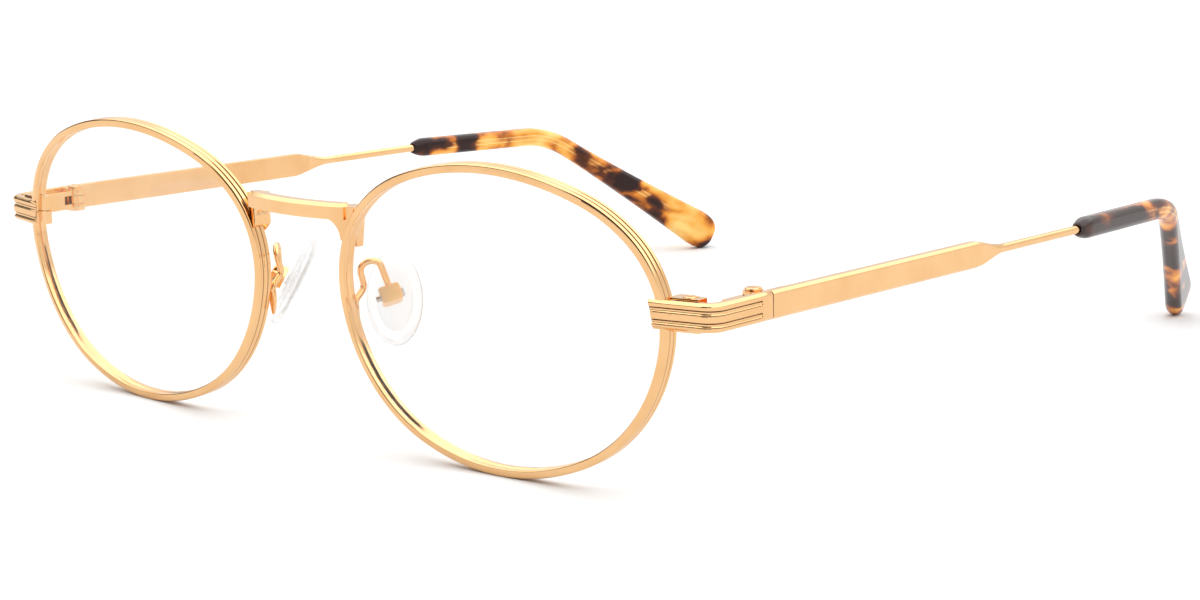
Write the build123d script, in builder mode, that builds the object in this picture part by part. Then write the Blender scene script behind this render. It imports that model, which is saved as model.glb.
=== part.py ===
from build123d import *
import os
from math import cos, degrees, pi, radians, sin, sqrt, tan

# Oval metal eyeglasses, open, standing on the rims' lower edges and on the temple tips.
# +Z is up, the front looks along -Y and +X is the wearer's left. Lengths are millimetres, angles degrees.
# The origin is under the middle of the whole object. The left pieces are modelled and the right ones mirrored.

# Lens opening: an oval of eight tangent arcs, wider at the brow than at the cheek
opening_half_width = 26.40
opening_rise = 21.15
opening_drop = 17.15
side_centre_height = 4.02
crown_flatness_share = 0.2654
brow_start_angle = 46.97
crown_start_angle = 69.08
cheek_start_angle = 9.73
bottom_start_angle = 66.40

# How the two lens openings stand
rim_spacing = 15.96
base_curve_radius = 132.1
wrap_angle = 3.37
forward_tilt_angle = 3.82

# Rim wire and lens
rim_wall = 1.12
rim_depth = 2.04
reed_width = 0.24
reed_depth = 0.16
reed_land = 0.52
lens_thickness = 1.60
lens_setback = 0.22
lens_edge_gap = 0.03
bevel_height = 0.45
bevel_width = 0.60
groove_clearance = 0.03
rim_split_gap = 0.12

# End piece: a bent strip with two flutes, from the rim's front to the hinge
strip_reach = 6.607
strip_thickness = 1.25
strip_height = 3.60
strip_rise = 6.05
strip_lap = 1.90
strip_proud = 0.80
strip_slant_angle = 12.0
strip_bend_radius = 2.60
strip_edge_chamfer = 0.36
joint_setback = 16.25
flute_width = 0.66
flute_pitch = 1.50
flute_drop = 0.14
flute_depth = 0.24
flute_stop = 2.30

# Closing blocks and their screw
block_length = 4.20
block_depth = 2.20
block_height = 4.20
block_proud = 0.20
block_corner = 0.35
split_share = 0.44
closing_shaft = 1.20
closing_head = 1.80
closing_head_height = 0.45
closing_head_sunk = 0.30
head_clearance = 0.05
screw_slot_width = 0.30
screw_slot_depth = 0.22

# Hinge: two knuckles on the end piece, one on the temple
knuckle_radius = 1.35
knuckle_clearance = 0.10
knuckle_gap = 0.05
hinge_setback = 0.55
hinge_height = 3.40
middle_knuckle = 1.16
front_leaf_length = 5.40
front_leaf_thickness = 2.05
front_leaf_height = 2.70
slot_reach = 1.20
temple_leaf_start = 0.65
temple_leaf_length = 3.20
temple_leaf_thickness = 0.36
temple_arm_width = 1.60
hinge_shaft = 1.20
hinge_head = 2.20
hinge_head_height = 0.40
shaft_clearance = 0.03
leaf_corner = 0.30

# Temple: a flat bar that tapers to a round core wire
bar_height = 3.60
bar_thickness = 1.30
bar_chamfer = 0.38
bar_gap = 0.08
bar_length = 42.4
taper_length = 9.1
core_diameter = 1.20
bare_wire_length = 18.4
bar_lean_angle = 1.8
bar_fall_angle = 0.8
core_end_gap = 10.0

# Temple tip: straight, then bent down and inwards behind the ear
tip_straight = 29.2
tip_lean_angle = 7.1
tip_fall_angle = 2.0
drop_lean_angle = 28.0
drop_fall_angle = 33.7
tip_bend_radius = 14.0
wire_bend_radius = 60.0
tip_thickness = 2.75
tip_height = 3.05
tip_end_height = 6.3
tip_end_length = 4.0
tip_nose_length = 2.6
tip_nose_opening_share = 0.56
tip_corner_share = 0.30
tip_flare_power_share = 1.5
end_height_power_share = 3.0
end_edge_power_share = 4.0
tip_nose_shares = (0.0, 0.06, 0.18, 0.36, 0.62, 1.0)
tip_straight_shares = (0.17, 0.30, 0.45, 0.60, 0.75)
tip_bend_shares = (0.0, 0.2, 0.4, 0.6, 0.8, 1.0)
tip_drop_shares = (0.15, 0.32, 0.50, 0.68, 0.85, 1.0)
tip_round_shares = (0.25, 0.50, 0.70, 0.85, 0.94, 0.985)

# Bridge: a bowed bar with legs that reach the rims' outer sides
bridge_rise = 14.80
bridge_bar_height = 2.15
bridge_overlap = 1.75
bridge_bow_radius = 32.0
bridge_proud = 0.80
bridge_thickness = 1.70
bridge_bevel = 0.45
bridge_end_radius = 0.85
leg_setback = 0.65
leg_drop = 6.0
leg_inner_drop = 4.8
leg_inset = 0.52
leg_overlap_top = 2.6
leg_overlap_foot = 1.8
leg_curve_reach = 3.3
leg_back = 3.95
leg_corner_radius = 1.0

# Pad arm: a wire with a flat foot on the rim's back, looping up and over to the pad's box
arm_diameter = 0.88
foot_length = 3.9
foot_width = 1.30
foot_thickness = 0.50
foot_taper_share = 0.45
foot_low = 1.1
foot_bend_radius = 1.20
arm_back_rise = 1.5
arm_back = 1.75
arm_loop_rise = 5.15
arm_loop_back = 0.55
arm_loop_width = 2.9
arm_loop_radius = 1.45
arm_end_radius = 1.10

# Pad box, pad screw and nose pad
pad_height = 13.3
pad_width = 7.6
pad_thickness = 2.1
pad_edge_radius = 0.85
pad_inset = 2.10
pad_centre_back = 9.05
pad_rise = 0.90
pad_splay_angle = 43.0
pad_flare_side_share = 0.397
pad_flare_front_share = 0.367
pad_rake_angle = 18.0
box_forward = 0.53
box_below = 0.15
box_width = 2.90
box_height = 2.30
box_depth = 2.00
box_wall = 0.30
box_corner = 0.45
pad_gap = 0.30
lug_clearance = 0.10
lug_radius = 0.62
pad_screw_shaft = 0.80
pad_screw_head = 1.50
pad_screw_head_height = 0.40
pad_screw_tail = 0.60

overrun = 1.0
quarter_turn = degrees(pi / 2)


def heading(lean, fall):
    """Backwards direction that leans inwards and falls by the given angles"""
    return Vector(
        -sin(radians(lean)) * cos(radians(fall)), cos(radians(lean)) * cos(radians(fall)), -sin(radians(fall))
    )


def sagitta(reach):
    """How far the base curve has fallen back at a distance from its vertex"""
    return base_curve_radius - sqrt(base_curve_radius**2 - reach**2)


# Arc radii of the oval, solved from its heights, its width and the angles where the arcs join
def arc_steps(height, side_radius, start_angle, end_angle):
    """Growth of radius from the side arc to the shoulder and from there to the crown or bottom arc"""
    start_cos, start_rest = cos(radians(start_angle)), 1 - sin(radians(start_angle))
    end_cos, end_rest = cos(radians(end_angle)), 1 - sin(radians(end_angle))
    across, along = opening_half_width - side_radius, height - side_radius
    scale = start_cos * end_rest - end_cos * start_rest
    return (across * end_rest - along * end_cos) / scale, (along * start_cos - across * start_rest) / scale


crown_height = opening_rise - side_centre_height
bottom_height = opening_drop + side_centre_height
side_radius = (crown_height - crown_flatness_share * opening_half_width) / (1 - crown_flatness_share)
side_centre = Vector(opening_half_width - side_radius, side_centre_height)


def oval_arcs(grow):
    """Right half of the oval, drawn inside a line builder, with every radius grown by one amount"""
    CenterArc(side_centre, side_radius + grow, -cheek_start_angle, cheek_start_angle + brow_start_angle)
    for sign, height, start, end in (
        (1, crown_height, brow_start_angle, crown_start_angle),
        (-1, bottom_height, cheek_start_angle, bottom_start_angle),
    ):
        first, second = arc_steps(height, side_radius, start, end)
        middle = side_centre - Vector(cos(radians(start)), sign * sin(radians(start))) * first
        last = middle - Vector(cos(radians(end)), sign * sin(radians(end))) * second
        CenterArc(middle, side_radius + first + grow, sign * start, sign * (end - start))
        CenterArc(last, side_radius + first + second + grow, sign * end, sign * (quarter_turn - end))


# Half widths at the front: the rims' nasal sides, the lens centres and the end pieces
rim_half_spacing = rim_spacing / 2
lens_centre_side = rim_half_spacing + rim_wall + opening_half_width
front_half_width = lens_centre_side + (opening_half_width + rim_wall) * cos(radians(wrap_angle)) + strip_reach

# Places on the temple's line, counted from the rims' front
foot_reach = opening_drop + rim_wall
lens_centre_up = foot_reach * cos(radians(forward_tilt_angle)) - sagitta(foot_reach) * cos(radians(wrap_angle)) * sin(
    radians(forward_tilt_angle)
)
strip_middle = lens_centre_up + strip_rise
bar_way = heading(bar_lean_angle, bar_fall_angle)
tip_way = heading(tip_lean_angle, tip_fall_angle)
drop_way = heading(drop_lean_angle, drop_fall_angle)
tip_side = Vector(cos(radians(drop_lean_angle)), sin(radians(drop_lean_angle)), 0)
tip_up = tip_side.cross(drop_way)
bar_start_offset = Vector(front_half_width - bar_thickness / 2, joint_setback + bar_gap, strip_middle)
wire_start_offset = bar_start_offset + bar_way * (bar_length + taper_length)
tip_start_offset = wire_start_offset + bar_way * bare_wire_length
bend_offset = tip_start_offset + tip_way * tip_straight


def end_reach(along, up, side):
    """How far the tip's rounded end reaches in a direction, from the direction's shares in the end's own axes"""
    power = end_height_power_share / (end_height_power_share - 1)
    parts = (tip_end_length * along, tip_end_height / 2 * up, tip_thickness / 2 * side)
    return sum(abs(part) ** power for part in parts) ** (1 / power)


drop_length = (bend_offset.Z - end_reach(drop_way.Z, tip_up.Z, tip_side.Z)) / -drop_way.Z
round_offset = bend_offset + drop_way * drop_length
back_reach = round_offset.Y + end_reach(drop_way.Y, tip_up.Y, tip_side.Y)

# The rims' front vertices stand this far in front of the origin
front_y = -(back_reach - bridge_proud) / 2
shift = Vector(0, front_y, 0)
lens_back = Vector(
    -sin(radians(wrap_angle)),
    cos(radians(wrap_angle)) * cos(radians(forward_tilt_angle)),
    cos(radians(wrap_angle)) * sin(radians(forward_tilt_angle)),
)
lens_across = Vector(
    cos(radians(wrap_angle)),
    sin(radians(wrap_angle)) * cos(radians(forward_tilt_angle)),
    sin(radians(wrap_angle)) * sin(radians(forward_tilt_angle)),
)
lens_plane = Plane(Vector(lens_centre_side, front_y, lens_centre_up), x_dir=lens_across, z_dir=-lens_back)
shell_depth = sagitta(opening_half_width + opening_rise) + rim_depth + overrun


def rim_point(side, height, depth):
    """Place on the curved rim, from sizes across and up the lens plane and the depth behind its front face"""
    return lens_plane.from_local_coords(Vector(side, height, -sagitta(sqrt(side**2 + height**2)) - depth))


def curved_slice(outer, inner, front, back):
    """Oval slab or ring that follows the base curve from one depth to another behind the rim's front face"""
    with BuildPart(lens_plane) as piece:
        with BuildSketch(lens_plane):
            with BuildLine():
                oval_arcs(outer)
                mirror(about=Plane.YZ)
            make_face()
            if inner is not None:
                with BuildLine():
                    oval_arcs(inner)
                    mirror(about=Plane.YZ)
                make_face(mode=Mode.SUBTRACT)
        extrude(amount=shell_depth, both=True)
        with Locations((0, 0, -base_curve_radius - front)):
            Sphere(base_curve_radius, rotation=(quarter_turn, 0, 0), mode=Mode.INTERSECT)
        with Locations((0, 0, -base_curve_radius - back)):
            Sphere(base_curve_radius, rotation=(quarter_turn, 0, 0), mode=Mode.SUBTRACT)
    return piece.part


def save_pair(piece, name):
    """Writes the left piece and its mirror image"""
    with BuildPart() as other:
        mirror(piece.part, about=Plane.YZ)
    for side, solid in (("left", piece), ("right", other)):
        solid.part.label = name + "_" + side
        export_step(solid.part, "parts/" + name + "_" + side + ".step")


os.makedirs("parts", exist_ok=True)

# Lens, with a tongue round its edge that sits in the rim's groove
bevel_front = lens_setback + (lens_thickness - bevel_width) / 2
with BuildPart() as lens:
    add(curved_slice(-lens_edge_gap, None, lens_setback, lens_setback + lens_thickness))
    add(curved_slice(bevel_height, None, bevel_front, bevel_front + bevel_width))
save_pair(lens, "lens")

# Rim: ring of flat wire with a lens groove inside, two reeds outside and a cut where it opens
rim_envelope = curved_slice(rim_wall, None, 0, rim_depth)
split_up = strip_middle + strip_height * (split_share - 0.5)
rim_side = rim_point(opening_half_width + rim_wall, side_centre_height, 0)
with BuildPart() as rim:
    add(curved_slice(rim_wall, 0, 0, rim_depth))
    groove_front = bevel_front - groove_clearance
    groove_back = bevel_front + bevel_width + groove_clearance
    add(curved_slice(bevel_height + groove_clearance, None, groove_front, groove_back), mode=Mode.SUBTRACT)
    for reed in (0, 1):
        reed_front = reed_land + reed * (reed_land + reed_width)
        ring = curved_slice(rim_wall + overrun, rim_wall - reed_depth, reed_front, reed_front + reed_width)
        add(ring, mode=Mode.SUBTRACT)
    with Locations(Vector(rim_side.X, rim_side.Y + rim_depth / 2, split_up)):
        Box(4 * rim_wall, 4 * rim_depth, rim_split_gap, mode=Mode.SUBTRACT)
save_pair(rim, "rim")

# End piece: strip bent round the corner, lapped over the rim's front, with two flutes along its outer face
strip_slope = tan(radians(strip_slant_angle))
strip_front = Vector(rim_side.X - strip_lap, rim_side.Y - strip_proud)
strip_corner = Vector(front_half_width, strip_front.Y + (front_half_width - strip_front.X) * strip_slope)
joint_y = front_y + joint_setback
strip_bottom = strip_middle - strip_height / 2
strip_top = strip_middle + strip_height / 2
flute_radius = (flute_width**2 / 4 + flute_depth**2) / (2 * flute_depth)
stand_off = flute_radius - flute_depth
slant_way = (strip_corner - strip_front).normalized()
flute_front = strip_front + Vector(slant_way.Y, -slant_way.X) * stand_off - slant_way * (strip_lap + overrun)
flute_side = front_half_width + stand_off
flute_corner = Vector(flute_side, flute_front.Y + (flute_side - flute_front.X) * strip_slope)


def flute_cutter(height):
    """Round bar that follows the strip's outer face and ends in a ball before the joint"""
    lift = Vector(0, 0, height)
    flute_end = Vector(flute_side, joint_y - flute_stop)
    with BuildLine() as route:
        FilletPolyline(flute_front + lift, flute_corner + lift, flute_end + lift, radius=strip_bend_radius + stand_off)
    with BuildPart() as cutter:
        with BuildSketch(Plane(route.line @ 0, z_dir=route.line % 0)):
            Circle(flute_radius)
        sweep(path=route.line)
        with Locations(route.line @ 1):
            Sphere(flute_radius)
    return cutter.part


# The strip starts a little inside the rim's opening, and its end runs along the rim's line
with BuildPart(lens_plane) as inside_rim:
    with BuildSketch(lens_plane):
        with BuildLine():
            oval_arcs(rim_wall - strip_lap)
            mirror(about=Plane.YZ)
        make_face()
    extrude(amount=shell_depth, both=True)
with BuildPart() as end_piece:
    with BuildSketch(Plane.XY.offset(strip_bottom)):
        with BuildLine():
            FilletPolyline(
                strip_front - slant_way * strip_lap,
                strip_corner,
                (front_half_width, joint_y),
                radius=strip_bend_radius,
            )
            offset(amount=strip_thickness, side=Side.LEFT)
        make_face()
    extrude(amount=strip_height)
    chamfer(end_piece.edges().filter_by(Axis.Y).group_by(Axis.X)[-1], length=strip_edge_chamfer)
    for flute in (-0.5, 0.5):
        add(flute_cutter(strip_middle - flute_drop + flute * flute_pitch), mode=Mode.SUBTRACT)
    add(inside_rim.part, mode=Mode.SUBTRACT)
    add(rim_envelope, mode=Mode.SUBTRACT)
save_pair(end_piece, "end_piece")

# Closing blocks in the corner behind the strip, one on each end of the rim
block_left = rim_side.X - rim_wall / 2
block_right = block_left + block_length
strip_back = strip_thickness / cos(radians(strip_slant_angle))
screw_x = (rim_side.X + block_right) / 2


def strip_back_y(x):
    """Rear face of the strip's front leg"""
    return strip_front.Y + (x - strip_front.X) * strip_slope + strip_back


block_back = strip_back_y(screw_x) + block_depth
screw_y = (strip_back_y(screw_x) + block_back) / 2
block_top = strip_top + block_proud
block_bottom = block_top - block_height


def closing_block(bottom, top):
    """Block between two heights, fitted to the strip and the rim, bored for the closing screw"""
    with BuildPart() as block:
        with BuildSketch(Plane.XY.offset(bottom)):
            with BuildLine():
                Polyline(
                    (block_left, strip_back_y(block_left)),
                    (block_right, strip_back_y(block_right)),
                    (block_right, block_back),
                    (block_left, block_back),
                    close=True,
                )
            make_face()
            fillet(vertices().group_by(Axis.Y)[-1], radius=block_corner)
        extrude(amount=top - bottom)
        add(rim_envelope, mode=Mode.SUBTRACT)
        with Locations((screw_x, screw_y, bottom)):
            Cylinder(closing_shaft / 2 + shaft_clearance, 3 * (top - bottom), mode=Mode.SUBTRACT)
        with Locations((screw_x, screw_y, block_top)):
            Cylinder(closing_head / 2 + head_clearance, 2 * closing_head_sunk, mode=Mode.SUBTRACT)
    return block


upper_block = closing_block(split_up + rim_split_gap / 2, block_top)
save_pair(upper_block, "closing_block_upper")
lower_block = closing_block(block_bottom, split_up - rim_split_gap / 2)
save_pair(lower_block, "closing_block_lower")


def slotted_screw(axis_plane, shaft, length, head, head_height):
    """Cheese-headed screw whose head sits on a plane and whose shaft goes down from it"""
    with BuildPart(axis_plane) as screw:
        Cylinder(head / 2, head_height, align=(Align.CENTER, Align.CENTER, Align.MIN))
        chamfer(screw.edges().group_by(Axis((0, 0, 0), axis_plane.z_dir))[-1], length=screw_slot_depth / 2)
        Cylinder(shaft / 2, length, align=(Align.CENTER, Align.CENTER, Align.MAX))
        with Locations((0, 0, head_height)):
            Box(2 * head, screw_slot_width, 2 * screw_slot_depth, mode=Mode.SUBTRACT)
    return screw


closing_screw = slotted_screw(
    Plane((screw_x, screw_y, block_top - closing_head_sunk)),
    closing_shaft,
    block_height - closing_head_sunk,
    closing_head,
    closing_head_height,
)
save_pair(closing_screw, "closing_screw")

# Hinge leaf on the end piece: two knuckles with a slot for the temple's knuckle between them
strip_inside = front_half_width - strip_thickness
axis_x = strip_inside - knuckle_radius - knuckle_clearance
axis_y = joint_y - hinge_setback
hinge_bottom = strip_middle - hinge_height / 2
with BuildPart() as front_leaf:
    with BuildSketch(Plane.XY.offset(hinge_bottom)):
        with Locations((strip_inside, axis_y)):
            Rectangle(front_leaf_thickness, knuckle_radius, align=(Align.MAX, Align.MAX))
        with Locations((axis_x, axis_y)):
            Circle(knuckle_radius)
    extrude(amount=hinge_height)
    with BuildSketch(Plane.XY.offset(strip_middle - front_leaf_height / 2)):
        with Locations((strip_inside, axis_y)):
            Rectangle(front_leaf_thickness, front_leaf_length, align=(Align.MAX, Align.MAX))
        fillet(vertices().group_by(Axis.Y)[0].group_by(Axis.X)[0], radius=leaf_corner)
    extrude(amount=front_leaf_height)
    with Locations((axis_x, axis_y - knuckle_radius - slot_reach, strip_middle)):
        Box(
            4 * front_leaf_thickness,
            4 * knuckle_radius + slot_reach,
            middle_knuckle + 2 * knuckle_gap,
            align=(Align.CENTER, Align.MIN, Align.CENTER),
            mode=Mode.SUBTRACT,
        )
    with Locations((axis_x, axis_y, strip_middle)):
        Cylinder(hinge_shaft / 2 + shaft_clearance, 2 * hinge_height, mode=Mode.SUBTRACT)
save_pair(front_leaf, "front_hinge_leaf")

hinge_screw = slotted_screw(
    Plane((axis_x, axis_y, hinge_bottom + hinge_height)), hinge_shaft, hinge_height, hinge_head, hinge_head_height
)
save_pair(hinge_screw, "hinge_screw")

# Temple: bar with bevelled outer edges, rounded down to a wire that runs on inside the tip
bar_start = bar_start_offset + shift
wire_start = wire_start_offset + shift
tip_start = tip_start_offset + shift
bend = bend_offset + shift
round_start = round_offset + shift
bar_plane = Plane(bar_start, x_dir=Vector(1, 0, 0) - bar_way * bar_way.X, z_dir=bar_way)
core_end = round_start - drop_way * (core_end_gap - tip_end_length)
bar_corner_reach = sqrt(bar_height**2 + bar_thickness**2) / 2 + bar_gap
with BuildPart() as temple:
    with BuildSketch(bar_plane):
        Rectangle(bar_thickness, bar_height)
        chamfer(vertices().group_by(Axis.X)[-1], length=bar_chamfer)
    extrude(amount=bar_length + taper_length)
    with BuildSketch(Plane(bar_start, x_dir=bar_plane.x_dir, z_dir=-bar_plane.y_dir)):
        with BuildLine():
            ends = Spline(
                (bar_corner_reach, bar_length),
                (core_diameter / 2, bar_length + taper_length),
                tangents=((0, 1), (0, 1)),
            )
            Polyline(ends @ 1, (0, bar_length + taper_length), (0, -overrun), (bar_corner_reach, -overrun), ends @ 0)
        make_face()
    revolve(axis=Axis(bar_start, bar_way), mode=Mode.INTERSECT)
    with BuildLine() as core:
        FilletPolyline(wire_start, tip_start, bend, core_end, radius=(wire_bend_radius, tip_bend_radius))
    with BuildSketch(Plane(wire_start, z_dir=bar_way)):
        Circle(core_diameter / 2)
    sweep(path=core.line)
save_pair(temple, "temple")

# Hinge leaf on the temple: plate with the middle knuckle
leaf_start = joint_y + temple_leaf_start
bar_inside = front_half_width - bar_thickness
with BuildPart() as temple_leaf:
    with BuildSketch(Plane.XY.offset(strip_middle - hinge_height / 2)):
        with BuildLine():
            Polyline(
                (bar_inside, leaf_start),
                (bar_inside - temple_leaf_thickness, leaf_start),
                (bar_inside - temple_leaf_thickness, leaf_start + temple_leaf_length),
                (bar_inside, leaf_start + temple_leaf_length),
                close=True,
            )
        make_face()
    extrude(amount=hinge_height)
    with BuildSketch(Plane.XY.offset(strip_middle - middle_knuckle / 2)):
        with Locations((bar_inside, axis_y)):
            Rectangle(bar_inside - axis_x, temple_arm_width, align=(Align.MAX, Align.MIN))
        with Locations((axis_x, axis_y)):
            Circle(knuckle_radius)
    extrude(amount=middle_knuckle)
    with Locations((axis_x, axis_y, strip_middle)):
        Cylinder(hinge_shaft / 2 + shaft_clearance, 2 * hinge_height, mode=Mode.SUBTRACT)
    add(temple.part, mode=Mode.SUBTRACT)
save_pair(temple_leaf, "temple_hinge_leaf")

# Temple tip: sleeve lofted along the bent core, with a rounded nose and a rounded paddle end
with BuildLine() as spine:
    FilletPolyline(tip_start, bend, round_start, radius=tip_bend_radius)
spine_line = spine.wire()
bend_turn = radians(tip_way.get_angle(drop_way))
bend_reach = tip_bend_radius * tan(bend_turn / 2)
straight_run = tip_straight - bend_reach
bend_run = tip_bend_radius * bend_turn
drop_run = drop_length - bend_reach
flare_start = straight_run + bend_run
nose_radius_share = 1 - tip_nose_opening_share


def tip_height_at(distance):
    """Height of the sleeve's section, which stays level up to the bend's end and then flares to the paddle"""
    flare = max(0, distance - flare_start) / drop_run
    return tip_height + (tip_end_height - tip_height) * flare**tip_flare_power_share


def tip_section(place, way, height, thickness):
    """Rounded section square to the tip's line, upright"""
    side = Vector(way.Y, -way.X, 0).normalized()
    with BuildSketch(Plane(place, x_dir=side, z_dir=way)) as section:
        RectangleRounded(thickness, height, tip_corner_share * thickness)
    return section.sketch


tip_stations = [share * tip_nose_length for share in tip_nose_shares]
tip_stations += [share * straight_run for share in tip_straight_shares]
tip_stations += [straight_run + share * bend_run for share in tip_bend_shares]
tip_stations += [flare_start + share * drop_run for share in tip_drop_shares]
with BuildPart() as temple_tip:
    sections = []
    for distance in tip_stations:
        nose = 1 - nose_radius_share * max(0, 1 - distance / tip_nose_length) ** 2
        share = distance / spine_line.length
        sections.append(
            tip_section(spine_line @ share, spine_line % share, tip_height_at(distance) * nose, tip_thickness * nose)
        )
    for share in tip_round_shares:
        height = tip_end_height * (1 - share**end_height_power_share) ** (1 / end_height_power_share)
        thickness = tip_thickness * (1 - share**end_edge_power_share) ** (1 / end_edge_power_share)
        place = round_start + drop_way * tip_end_length * share
        sections.append(tip_section(place, drop_way, height, min(thickness, height)))
    loft(sections)
    add(temple.part, mode=Mode.SUBTRACT)
save_pair(temple_tip, "temple_tip")

# Bridge: bowed bar with bevelled top, and set-back legs down the rims' outer sides
bow_centre = front_y - bridge_proud + bridge_bow_radius


def bow_y(x, radius):
    """Bowed line seen from above"""
    return bow_centre - sqrt(radius**2 - x**2)


bridge_top = lens_centre_up + bridge_rise
bar_bottom = bridge_top - bridge_bar_height
leg_radius = bridge_bow_radius - leg_setback
bridge_bar_half = rim_half_spacing + bridge_overlap
leg_inner = rim_half_spacing + leg_inset
leg_outer_top = rim_half_spacing + leg_overlap_top
leg_outer_foot = rim_half_spacing + leg_overlap_foot
leg_start = leg_inner - leg_curve_reach
with BuildPart() as legs:
    with BuildSketch(Plane.XZ.offset(-front_y - 2 * leg_back)):
        with BuildLine():
            Polyline(
                (0, bar_bottom),
                (0, bridge_top - bridge_bevel),
                (leg_outer_top, bridge_top - bridge_bevel),
                (leg_outer_foot, bridge_top - leg_drop),
                (leg_inner, bridge_top - leg_inner_drop),
            )
            TangentArc((leg_inner, bridge_top - leg_inner_drop), (leg_start, bar_bottom), tangent=(0, 1))
            Line((leg_start, bar_bottom), (0, bar_bottom))
        make_face()
        mirror(about=Plane.YZ)
    extrude(amount=4 * leg_back)
    with BuildSketch(Plane.XY):
        with BuildLine():
            ThreePointArc(
                (-leg_outer_top, bow_y(leg_outer_top, leg_radius)),
                (0, bow_centre - leg_radius),
                (leg_outer_top, bow_y(leg_outer_top, leg_radius)),
            )
            Polyline(
                (leg_outer_top, bow_y(leg_outer_top, leg_radius)),
                (leg_outer_top, front_y + leg_back),
                (leg_inner, front_y + leg_back),
                (leg_start + leg_corner_radius, front_y - bridge_proud + bridge_thickness),
                (0, front_y - bridge_proud + bridge_thickness),
            )
            Polyline(
                (-leg_outer_top, bow_y(leg_outer_top, leg_radius)),
                (-leg_outer_top, front_y + leg_back),
                (-leg_inner, front_y + leg_back),
                (-leg_start - leg_corner_radius, front_y - bridge_proud + bridge_thickness),
                (0, front_y - bridge_proud + bridge_thickness),
            )
        make_face()
    extrude(amount=2 * bridge_top, mode=Mode.INTERSECT)
with BuildPart() as bridge:
    with BuildSketch(Plane.XY.offset(bar_bottom)):
        with BuildLine():
            ThreePointArc(
                (-bridge_bar_half, bow_y(bridge_bar_half, bridge_bow_radius)),
                (0, bow_centre - bridge_bow_radius),
                (bridge_bar_half, bow_y(bridge_bar_half, bridge_bow_radius)),
            )
            offset(amount=bridge_thickness, side=Side.LEFT)
        make_face()
    extrude(amount=bridge_bar_height)
    fillet(bridge.edges().filter_by(Axis.Z).group_by(Axis.Y)[0], radius=bridge_end_radius)
    top_arcs = bridge.edges().group_by(Axis.Z)[-1].filter_by(GeomType.CIRCLE)
    chamfer(top_arcs.sort_by(Axis.Y)[0:3], length=bridge_bevel)
    add(legs.part)
    add(rim_envelope, mode=Mode.SUBTRACT)
    add(mirror(rim_envelope, about=Plane.YZ, mode=Mode.PRIVATE), mode=Mode.SUBTRACT)
bridge.part.label = "bridge"
export_step(bridge.part, "parts/bridge.step")

# Nose pad's own directions: down its length, back along its width, and out of its skin face
pad_down = Vector(pad_flare_side_share, -pad_flare_front_share, -1).normalized()
pad_level = Vector(sin(radians(pad_splay_angle)), cos(radians(pad_splay_angle)), 0)
pad_back = (pad_level - pad_down * pad_level.dot(pad_down)).normalized()
pad_skin = pad_back.cross(pad_down).normalized()
pad_centre = Vector(rim_half_spacing + pad_inset, front_y + pad_centre_back, lens_centre_up + pad_rise)
axis_drop = pad_thickness / 2 + pad_gap + box_depth / 2
box_centre = pad_centre - pad_skin * axis_drop - pad_back * box_forward + pad_down * box_below
screw_way = (pad_back * cos(radians(pad_rake_angle)) - pad_down * sin(radians(pad_rake_angle))).normalized()
pad_plane = Plane(pad_centre, x_dir=pad_back, z_dir=pad_skin)
box_plane = Plane(box_centre, x_dir=screw_way, z_dir=pad_skin)
lug_width = box_width - 2 * box_wall - 2 * lug_clearance
with BuildPart() as nose_pad:
    with BuildSketch(pad_plane.offset(-pad_thickness / 2)):
        Ellipse(pad_width / 2, pad_height / 2)
    extrude(amount=pad_thickness)
    fillet(nose_pad.edges().filter_by(GeomType.ELLIPSE), radius=pad_edge_radius)
    with BuildSketch(Plane(box_centre - screw_way * lug_width / 2, x_dir=pad_skin, z_dir=screw_way)):
        Circle(lug_radius)
        Rectangle(axis_drop - pad_thickness / 4, 2 * lug_radius, align=(Align.MIN, Align.CENTER))
    extrude(amount=lug_width)
    with Locations(Plane(box_centre, z_dir=screw_way)):
        Cylinder(pad_screw_shaft / 2 + shaft_clearance, 2 * box_width, mode=Mode.SUBTRACT)
save_pair(nose_pad, "nose_pad")

# Pad box: small housing, open towards the pad, that holds the pad's lug
with BuildPart(box_plane) as box_blank:
    Box(box_width, box_height, box_depth)
    fillet(box_blank.edges().filter_by(Axis((0, 0, 0), pad_skin)), radius=box_corner)
with BuildPart() as pad_box:
    add(box_blank.part)
    with Locations(box_plane.offset(box_wall)):
        Box(box_width - 2 * box_wall, box_height - 2 * box_wall, box_depth, mode=Mode.SUBTRACT)
    with Locations(box_plane):
        Cylinder(
            pad_screw_shaft / 2 + shaft_clearance, 2 * box_width, rotation=(0, quarter_turn, 0), mode=Mode.SUBTRACT
        )
save_pair(pad_box, "pad_box")

head_seat = box_centre + screw_way * box_width / 2
pad_screw = slotted_screw(
    Plane(head_seat, z_dir=screw_way),
    pad_screw_shaft,
    box_width + pad_screw_tail,
    pad_screw_head,
    pad_screw_head_height,
)
save_pair(pad_screw, "pad_screw")

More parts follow.
